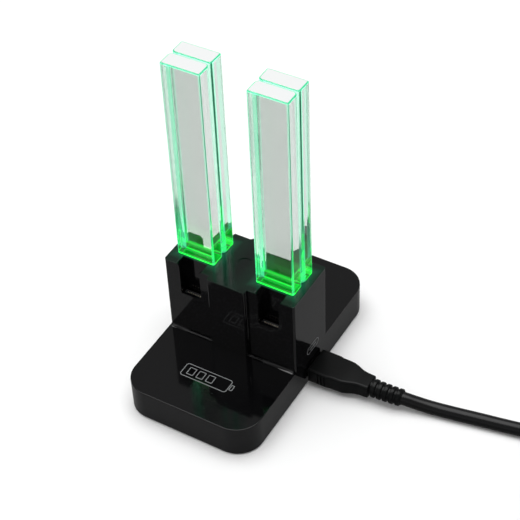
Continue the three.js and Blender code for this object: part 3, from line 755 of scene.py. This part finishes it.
# ---- Bottom cover, feet and screws ------------------------------------------
class DOCK_OT_underside(Operator):
    """Add the bottom cover, the four feet and the screws"""

    bl_idname = "dock.add_underside"
    bl_label = "Underside"

    # from a foot's edge inwards: width and rise of each step, in mm
    SOLE_STEPS = ((0.9, 0.0), (0.15, -0.15), (0.5, 0.0), (0.15, 0.15))

    def execute(self, context):
        black = textured_black()
        add_rounded(
            "bottom_cover", "base_cover", black, "dock", 0.12 * MM, 1
        )
        rubber = silicone_rubber()
        for place in PLACES:
            self.add_foot(place, rubber)
        steel = zinc_steel()
        for node in sorted(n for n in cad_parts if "screw" in n):
            add_rounded(node, node + "_zinc", steel, "dock", 0.08 * MM, 1)
        return {"FINISHED"}

    def add_foot(self, place, rubber):
        """A round pad with a softened edge and a shallow ring moulded in its sole."""
        lo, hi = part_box("foot_" + place)
        radius = (hi.x - lo.x) / 2
        bm = bmesh.new()
        bmesh.ops.create_cone(
            bm,
            cap_ends=True,
            segments=48,
            radius1=radius,
            radius2=radius,
            depth=hi.z - lo.z,
            matrix=Matrix.Translation((lo + hi) / 2),
        )
        rim = [e for e in sharp_edges(bm, 60) if all(v.co.z < lo.z + TOLERANCE for v in e.verts)]
        bevel(bm, rim, 0.35 * MM, 3)
        sole = [f for f in bm.faces if f.normal.z < -0.99]
        for thickness, depth in self.SOLE_STEPS:
            bmesh.ops.inset_individual(bm, faces=sole, thickness=thickness * MM, depth=depth * MM)
        name, node = "rubber_foot_" + place, "foot_" + place
        add_piece(bm, name, [rubber], "dock", [node], sharp=50)


def textured_black():
    # Spark-textured ABS: an even fine grit that scatters the light, so the black looks dry
    return simple_material(
        "spark_textured_abs", linear("#151516"), 0.55, grain=0.25, bump=0.5, depth=0.04, ior=1.54
    )


def silicone_rubber():
    # Pressed silicone rubber: matt, with a dusty bloom
    return simple_material(
        "pressed_silicone_rubber", linear("#1b1b1c"), 0.82, grain=0.5, bump=0.4, ior=1.41
    )


def zinc_steel():
    # Cold-headed steel, zinc plated: a pale metal with a slightly uneven shine
    return simple_material(
        "zinc_plated_steel", linear("#b9bcbf"), 0.3, 1.0, grain=0.4, bump=0.2, depth=0.01
    )


# ---- Contacts ---------------------------------------------------------------
class DOCK_OT_contacts(Operator):
    """Add the contact blocks and their rows of sprung pins"""

    bl_idname = "dock.add_contacts"
    bl_label = "Contacts"

    PINS = 10
    PIN_WIDTH = 0.26 * MM
    STRIP_HEIGHT = 1.4 * MM

    def execute(self, context):
        plastic = textured_black()
        gold = gold_contact()
        for place in PLACES:
            name, node = "pin_block_" + place, "contact_block_" + place
            add_rounded(node, name, plastic, "dock", 0.12 * MM, 2)
            self.add_pins(place, gold)
        return {"FINISHED"}

    def add_pins(self, place, gold):
        """Ten pins with rounded tips, standing on one strip."""
        lo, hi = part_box("contact_pins_" + place)
        pitch = (hi.x - lo.x - self.PIN_WIDTH) / (self.PINS - 1)
        strip_top = lo.z + self.STRIP_HEIGHT
        bm = bmesh.new()
        box(bm, lo, (hi.x, hi.y, strip_top))
        for index in range(self.PINS):
            left = lo.x + index * pitch
            verts = box(bm, (left, lo.y, strip_top - 0.2 * MM), (left + self.PIN_WIDTH, hi.y, hi.z))
            top = [v for v in verts if v.co.z > hi.z - TOLERANCE]
            tip = [e for e in bm.edges if all(v in top for v in e.verts)]
            bevel(bm, tip, 0.12 * MM, 2)
        name, node = "sprung_pins_" + place, "contact_pins_" + place
        add_piece(bm, name, [gold], "contacts_" + place, [node], sharp=50)


def gold_contact():
    # Stamped spring brass with a thin gold flash: pale, warm and softly bright
    return simple_material(
        "gold_flashed_brass", linear("#f0ead8"), 0.42, 1.0, grain=0.3, bump=0.15, depth=0.01
    )


# ---- Boards and small parts inside ------------------------------------------
class DOCK_OT_inside(Operator):
    """Give the boards and small parts inside the dock their finishes"""

    bl_idname = "dock.finish_inside"
    bl_label = "Inside finishes"

    def execute(self, context):
        board = solder_mask()
        chip = moulded_epoxy()
        ribbon = flat_cable()
        white = white_abs()
        finishes = {
            "main_board": board,
            "contact_board": board,
            "light_board": board,
            "bar_holder": white,
            "input_capacitor": shrunk_vinyl(),
            "power_inductor": chip,
            "ribbon_to_light_board": ribbon,
            "ribbon_to_contact_board": ribbon,
            "usb_socket_tongue": chip,
            "usb_socket_shell": nickel_steel(),
        }
        finishes.update({f"charge_chip_{i}": chip for i in range(1, 5)})
        lens = led_lens()
        finishes.update({"led_" + place: lens for place in PLACES})
        for node, material in finishes.items():
            dress(node, material)
        return {"FINISHED"}


def dress(node, material):
    """Gives a CAD node that is kept a material."""
    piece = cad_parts[node]
    if not piece.material_slots:
        piece.data.materials.append(material)
    piece.material_slots[0].material = material


def white_abs():
    # Moulded white ABS: satin, with a faint grain
    white = linear("#e6e6e1")
    return simple_material("moulded_white_abs", white, 0.5, grain=0.4, bump=0.2, ior=1.54)


def solder_mask():
    # Glass epoxy under green solder mask, with copper tracks that show as paler lines 0.8 mm apart
    material, tree, shader, place = new_material(
        "solder_masked_glass_epoxy", {"Roughness": 0.35, "IOR": 1.5}
    )
    values = {
        "Vector": place,
        "Scale": 1 / (8 * MM),
        "Color1": linear("#12331f"),
        "Color2": linear("#173d26"),
        "Mortar": linear("#2f6b45"),
        "Mortar Size": 0.02,
        "Brick Width": 0.45,
        "Row Height": 0.1,
    }
    tracks = add_node(tree, "ShaderNodeTexBrick", values)
    tree.links.new(tracks.outputs["Color"], shader.inputs["Base Color"])
    return material


def moulded_epoxy():
    # Transfer-moulded epoxy with a fine satin grain
    return simple_material("transfer_moulded_epoxy", linear("#19191b"), 0.5, grain=0.15)


def shrunk_vinyl():
    # Heat-shrunk vinyl sleeve: smooth and half glossy, drawn tight over the can
    blue = linear("#242a3a")
    return simple_material("heat_shrunk_vinyl", blue, 0.3, grain=1.5, bump=0.15, ior=1.53)


COLOUR_A, COLOUR_B, COLOUR_RESULT = 6, 7, 2  # sockets of a Mix node for colours


def flat_cable():
    # Laminated flat cable: white film with the flat conductors showing as stripes 2 mm apart
    material, tree, shader, place = new_material(
        "laminated_flat_cable", {"Roughness": 0.4, "IOR": 1.57}
    )
    stripes = add_node(
        tree,
        "ShaderNodeTexWave",
        {"Vector": place, "Scale": 1 / (6.28 * MM), "Distortion": 0.0},
        bands_direction="X",
    )
    film, copper = linear("#dcd9cf"), linear("#b9b4a6")
    blend = add_node(
        tree,
        "ShaderNodeMix",
        {"Factor": stripes.outputs["Fac"], COLOUR_A: film, COLOUR_B: copper},
        data_type="RGBA",
    )
    tree.links.new(blend.outputs[COLOUR_RESULT], shader.inputs["Base Color"])
    return material


def led_lens():
    # Clear epoxy lens of a green LED, lit
    material, tree, shader, place = new_material(
        "lit_led_lens",
        {
            "Base Color": linear("#c9f7d4"),
            "Roughness": 0.15,
            "IOR": 1.5,
            "Emission Color": linear("#3cff6a"),
            "Emission Strength": 6.0,
        },
    )
    link_relief(tree, shader, noise(tree, place, 0.4), strength=0.1, depth=0.01)
    return material


def nickel_steel():
    # Deep-drawn steel with a nickel plate: cool and bright, with fine drawing marks
    return simple_material(
        "nickel_plated_steel", linear("#c9c8c4"), 0.24, 1.0, grain=0.35, bump=0.2, depth=0.01
    )


# ---- Plugs ------------------------------------------------------------------
def rib_profile(start, ribs, pitch, width, core, first, last):
    """Points (along, radius) in mm of a strain relief.

    It is a core with ribs, whose radius goes from the first one's to the last one's.
    """
    points = [(start, 0.0), (start, core)]
    for index in range(ribs):
        middle = start + pitch * (index + 0.75)
        radius = first + (last - first) * index / (ribs - 1)
        half = width / 2
        points += [
            (middle - half, core),
            (middle - half + 0.08, radius - 0.22),
            (middle - half + 0.3, radius),
            (middle + half - 0.3, radius),
            (middle + half - 0.08, radius - 0.22),
            (middle + half, core),
        ]
    end = start + pitch * (ribs + 0.28)
    points += [(end - 0.25, core), (end, core - 0.2), (end, 0.0)]
    return points


def turn_profile(bm, points, steps=32):
    """Spins (along X, radius) points in mm right round the X axis and returns the new vertices."""
    verts = [bm.verts.new((x * MM, 0, r * MM)) for x, r in points]
    edges = [bm.edges.new(pair) for pair in zip(verts, verts[1:])]
    before = set(bm.verts) - set(verts)
    bmesh.ops.spin(
        bm,
        geom=verts + edges,
        cent=(0, 0, 0),
        axis=(1, 0, 0),
        angle=2 * math.pi,
        steps=steps,
        use_merge=True,
    )
    made = [v for v in bm.verts if v not in before]
    bmesh.ops.remove_doubles(bm, verts=made, dist=TOLERANCE)
    made = [v for v in bm.verts if v not in before]
    faces = {f for v in made for f in v.link_faces}
    bmesh.ops.recalc_face_normals(bm, faces=list(faces))
    return made


class DOCK_OT_usb_c_plug(Operator):
    """Add the USB-C plug: its steel shell, its moulded grip and the ribbed strain relief"""

    bl_idname = "dock.add_usb_c_plug"
    bl_label = "USB-C plug"

    STATIONS = (
        # along X, half width and half height, in mm
        (24.5, 5.5, 2.9),
        (31.6, 5.5, 2.9),
        (32.6, 5.2, 2.9),
        (35.2, 5.2, 2.9),
        (37.0, 5.05, 2.88),
        (38.8, 4.5, 2.8),
        (40.6, 3.75, 2.7),
        (42.4, 3.4, 2.65),
        (45.5, 3.3, 2.6),
    )
    NOTCHES = (28.4, 29.6, 30.8)  # along X, in mm
    NOTCH_WIDTH = 0.7
    PORT = (1.8, 4.8)  # Y and Z of its middle, in mm
    RELIEF = ((45.5, 1.8, 4.8), (49, 1.85, 4.75), (53, 2.25, 4.5), (56.4, 2.9, 4.05))

    def execute(self, context):
        satin = satin_grip()
        bm = bmesh.new()
        self.add_body(bm)
        self.add_relief(bm)
        add_piece(bm, "plug_grip", [satin], "lead", ["usb_c_plug_grip"], sharp=45)
        steel = nickel_steel()
        add_rounded("usb_c_plug_shell", "plug_shell", steel, "lead", 0.08 * MM, 2)
        return {"FINISHED"}

    def add_body(self, bm):
        """A bar cut at each station, drawn in at the waist, rounded and notched."""
        y, z = self.PORT
        first, last = self.STATIONS[0], self.STATIONS[-1]
        low, high = Vector((first[0], y - 1, z - 1)), Vector((last[0], y + 1, z + 1))
        box(bm, low * MM, high * MM)
        for x, _, _ in self.STATIONS[1:-1]:
            cut(bm, bm.faces, (x * MM, 0, 0), (1, 0, 0))
        for x, half_width, half_height in self.STATIONS:
            ring = [v for v in bm.verts if abs(v.co.x - x * MM) < TOLERANCE]
            move = Matrix.Translation((0, -y * MM, -z * MM))
            bmesh.ops.scale(bm, vec=(1, half_width, half_height), space=move, verts=ring)
        long_edges = [
            e for e in sharp_edges(bm, 60) if abs(e.verts[0].co.x - e.verts[1].co.x) > TOLERANCE
        ]
        bevel(bm, long_edges, 0.9 * MM, 5)
        ends = [
            e
            for e in sharp_edges(bm, 60)
            for x in (first[0], last[0])
            if all(abs(v.co.x - x * MM) < TOLERANCE for v in e.verts)
        ]
        bevel(bm, ends, 0.45 * MM, 3)
        self.cut_notches(bm)

    def cut_notches(self, bm):
        """Three finger grooves in each short side."""
        half = self.NOTCH_WIDTH / 2

        def flat_sides():
            return [
                f
                for f in bm.faces
                if abs(f.normal.y) > 0.995 and f.calc_center_median().x < self.STATIONS[1][0] * MM
            ]

        for x in self.NOTCHES:
            for edge in (x - half, x + half):
                cut(bm, flat_sides(), (edge * MM, 0, 0), (1, 0, 0))
        faces = [
            f
            for f in flat_sides()
            if any(abs(f.calc_center_median().x - x * MM) < 0.1 * MM for x in self.NOTCHES)
        ]
        bmesh.ops.inset_individual(bm, faces=faces, thickness=0.12 * MM, depth=-0.4 * MM)

    def add_relief(self, bm):
        """The ribbed strain relief, bent down along its own short route."""
        points = rib_profile(
            start=45.2, ribs=5, pitch=2.1, width=1.5, core=2.5, first=3.15, last=2.95
        )
        for vert in turn_profile(bm, points):
            y, z = bend_at(self.RELIEF, vert.co.x / MM)
            vert.co.y += y * MM
            vert.co.z += z * MM


def bend_at(route, along):
    """The route's other two coordinates where it passes a place along X."""
    for (x0, y0, z0), (x1, y1, z1) in zip(route, route[1:]):
        if along <= x1:
            share = max(0.0, (along - x0) / (x1 - x0))
            return y0 + (y1 - y0) * share, z0 + (z1 - z0) * share
    return route[-1][1:]


def satin_grip():
    # Injection-moulded soft PVC: satin black with a very fine leather-like grit
    black = linear("#070808")
    return simple_material("moulded_soft_pvc", black, 0.28, grain=0.35, bump=0.2, shine=0.14)


class DOCK_OT_usb_a_plug(Operator):
    """Add the USB-A plug at the far end: its grip, its steel shell and its tongue"""

    bl_idname = "dock.add_usb_a_plug"
    bl_label = "USB-A plug"

    RELIEF_LENGTH = 8 * MM
    WAIST = ((0.3, 0.98), (0.55, 0.93), (0.8, 0.98))  # shares of the length and of the width

    def execute(self, context):
        lo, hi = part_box("usb_a_grip")
        middle = (lo.x + hi.x) / 2
        axis_z = (lo.z + hi.z) / 2
        shoulder = hi.y - self.RELIEF_LENGTH
        bm = bmesh.new()
        box(bm, lo, (hi.x, shoulder, hi.z))
        for along, width in self.WAIST:
            place = lo.y + (shoulder - lo.y) * along
            cut(bm, bm.faces, (0, place, 0), (0, 1, 0))
            ring = [v for v in bm.verts if abs(v.co.y - place) < TOLERANCE]
            about = Matrix.Translation((-middle, 0, -axis_z))
            bmesh.ops.scale(bm, vec=(width, 1, 1), space=about, verts=ring)
        long_edges = [
            e for e in sharp_edges(bm, 60) if abs(e.verts[0].co.y - e.verts[1].co.y) > TOLERANCE
        ]
        bevel(bm, long_edges, 1.6 * MM, 5)
        bevel(bm, sharp_edges(bm, 60), 0.5 * MM, 3)
        points = rib_profile(
            start=0, ribs=4, pitch=1.72, width=1.25, core=2.5, first=3.2, last=2.9
        )
        made = turn_profile(bm, points)
        move = Matrix.Translation((middle, shoulder - 0.3 * MM, axis_z))
        turn = Matrix.Rotation(math.pi / 2, 4, "Z")
        bmesh.ops.transform(bm, matrix=move @ turn, verts=made)
        satin = satin_grip()
        add_piece(bm, "usb_a_plug_grip", [satin], "lead", ["usb_a_grip"], sharp=45)
        steel = nickel_steel()
        add_rounded("usb_a_shell", "usb_a_plug_shell", steel, "lead", 0.25 * MM, 3)
        white = glass_filled_nylon()
        add_rounded(
            "usb_a_tongue", "usb_a_plug_tongue", white, "lead", 0.1 * MM, 2
        )
        return {"FINISHED"}


def glass_filled_nylon():
    # Glass-filled nylon: off-white and satin, with the fine mottle of its fibres
    white = linear("#e4e3de")
    return simple_material("glass_filled_nylon", white, 0.45, grain=0.3, bump=0.2, ior=1.53)


class DOCK_OT_tie(Operator):
    """Add the hook-and-loop tie round the coil"""

    bl_idname = "dock.add_tie"
    bl_label = "Tie"

    TAPE = 0.3 * MM  # its thickness

    def execute(self, context):
        lo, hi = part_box("cord_tie")
        bm = bmesh.new()
        inset = Vector((0, self.TAPE, self.TAPE))
        box(bm, lo + inset, hi - inset)
        ends = [f for f in bm.faces if abs(f.normal.x) > 0.9]
        bmesh.ops.delete(bm, geom=ends, context="FACES_ONLY")
        corners = [e for e in bm.edges if abs(e.verts[0].co.x - e.verts[1].co.x) > TOLERANCE]
        bevel(bm, corners, 1.6 * MM, 5)
        bmesh.ops.solidify(bm, geom=bm.faces[:], thickness=self.TAPE)
        add_piece(bm, "coil_tie", [hook_tape()], "lead", ["cord_tie"], sharp=60)
        return {"FINISHED"}


def hook_tape():
    # Woven hook-and-loop tape: a dense matt pile on a 0.6 mm weave
    material, tree, shader, place = new_material(
        "woven_hook_tape", {"Base Color": linear("#1d1d1f"), "Roughness": 0.95, "Sheen Weight": 0.3}
    )
    weave = add_node(tree, "ShaderNodeTexVoronoi", {"Vector": place, "Scale": 1 / (0.6 * MM)})
    link_relief(tree, shader, weave.outputs["Distance"], strength=0.8, depth=0.2)
    return material


# ---- Marks ------------------------------------------------------------------
INK_HEIGHT = 0.03 * MM


def mark_ring(bm, width, height, radius, line, place, turn):
    """A thin raised ring with rounded corners, or a solid patch if line is 0; sizes in mm."""
    grid = bmesh.ops.create_grid(bm, x_segments=1, y_segments=1, size=0.5)["verts"]
    bmesh.ops.scale(bm, vec=(width * MM, height * MM, 1), verts=grid)
    face = grid[0].link_faces[0]
    if radius:
        made = bevel(bm, grid, radius * MM, 8, clamp=False, affect="VERTICES")
        corners = [*made["verts"], *(v for f in made["faces"] for v in f.verts)]
        face = max((f for v in corners for f in v.link_faces), key=lambda f: f.calc_area())
    faces = [face]
    if line:
        faces = bmesh.ops.inset_individual(bm, faces=[face], thickness=line * MM)["faces"]
        bmesh.ops.delete(bm, geom=[face], context="FACES_ONLY")
    raised = bmesh.ops.extrude_face_region(bm, geom=faces)["geom"]
    top = [g for g in raised if isinstance(g, bmesh.types.BMVert)]
    bmesh.ops.translate(bm, vec=(0, 0, INK_HEIGHT), verts=top)
    verts = list({v for f in faces for v in f.verts} | set(top))
    bmesh.ops.recalc_face_normals(bm, faces=list({f for v in verts for f in v.link_faces}))
    bmesh.ops.transform(bm, matrix=Matrix.Translation(Vector(place) * MM) @ turn, verts=verts)


class DOCK_OT_marks(Operator):
    """Add the plain printed marks: a battery outline in front and a port sign at the side"""

    bl_idname = "dock.add_marks"
    bl_label = "Marks"

    SUNK = 0.01  # how far the ink reaches into the face, in mm
    # a ring's middle along X, width, height, corner radius and line, in mm
    BATTERY = (
        (-0.6, 17.5, 5.6, 1.0, 0.3),
        (9.0, 1.3, 2.4, 0.3, 0.3),
        (-6.2, 2.6, 3.2, 0.3, 0.3),
        (-2.6, 2.6, 3.2, 0.3, 0.3),
        (1.0, 2.6, 3.2, 0.3, 0.3),
    )
    BATTERY_Y = -25.8
    PORT_PLACE = (24 - SUNK, 1.1, 14.2)

    def execute(self, context):
        ink = pad_print()
        flat = Matrix.Identity(4)
        z = BASE_TOP / MM - self.SUNK
        bm = bmesh.new()
        for x, width, height, radius, line in self.BATTERY:
            mark_ring(bm, width, height, radius, line, (x, self.BATTERY_Y, z), flat)
        add_piece(bm, "battery_mark", [ink], "dock")
        side = Matrix.Rotation(math.pi / 2, 4, "Z") @ Matrix.Rotation(math.pi / 2, 4, "X")
        bm = bmesh.new()
        mark_ring(bm, 7.7, 2.9, 1.4, 0.25, self.PORT_PLACE, side)
        mark_ring(bm, 4.4, 0.35, 0.15, 0, self.PORT_PLACE, side)
        add_piece(bm, "port_mark", [ink], "dock")
        return {"FINISHED"}


def pad_print():
    # Pad-printed grey ink: thin and satin, with a very fine grain
    return simple_material("pad_printed_ink", linear("#77797a"), 0.45, grain=0.4, bump=0.1)


# ---- Registration -----------------------------------------------------------
STEPS = (
    DOCK_OT_stage,
    DOCK_OT_shell,
    DOCK_OT_bars,
    DOCK_OT_underside,
    DOCK_OT_contacts,
    DOCK_OT_inside,
    DOCK_OT_usb_c_plug,
    DOCK_OT_usb_a_plug,
    DOCK_OT_tie,
    DOCK_OT_cord,
    DOCK_OT_marks,
)
SETTINGS = {
    "dock_shell": DockShellSettings,
    "dock_bars": DockBarSettings,
    "dock_cord": DockCordSettings,
    "dock_stage": DockStageSettings,
}


class DOCK_PT_pieces(Panel):
    bl_label = "Charging Dock"
    bl_idname = "DOCK_PT_pieces"
    bl_space_type = "VIEW_3D"
    bl_region_type = "UI"
    bl_category = "Dock"

    def draw(self, context):
        for name in SETTINGS:
            settings = getattr(context.scene, name)
            column = self.layout.column(align=True)
            for key in settings.__annotations__:
                column.prop(settings, key)
        for step in STEPS:
            self.layout.operator(step.bl_idname)


CLASSES = (*SETTINGS.values(), *STEPS, DOCK_PT_pieces)


def register():
    for cls in CLASSES:
        bpy.utils.register_class(cls)
    for name, group in SETTINGS.items():
        setattr(bpy.types.Scene, name, PointerProperty(type=group))


def unregister():
    for name in SETTINGS:
        delattr(bpy.types.Scene, name)
    for cls in reversed(CLASSES):
        bpy.utils.unregister_class(cls)


def main():
    register()
    for step in STEPS:
        group, name = step.bl_idname.split(".")
        getattr(getattr(bpy.ops, group), name)()


if __name__ == "__main__":
    main()
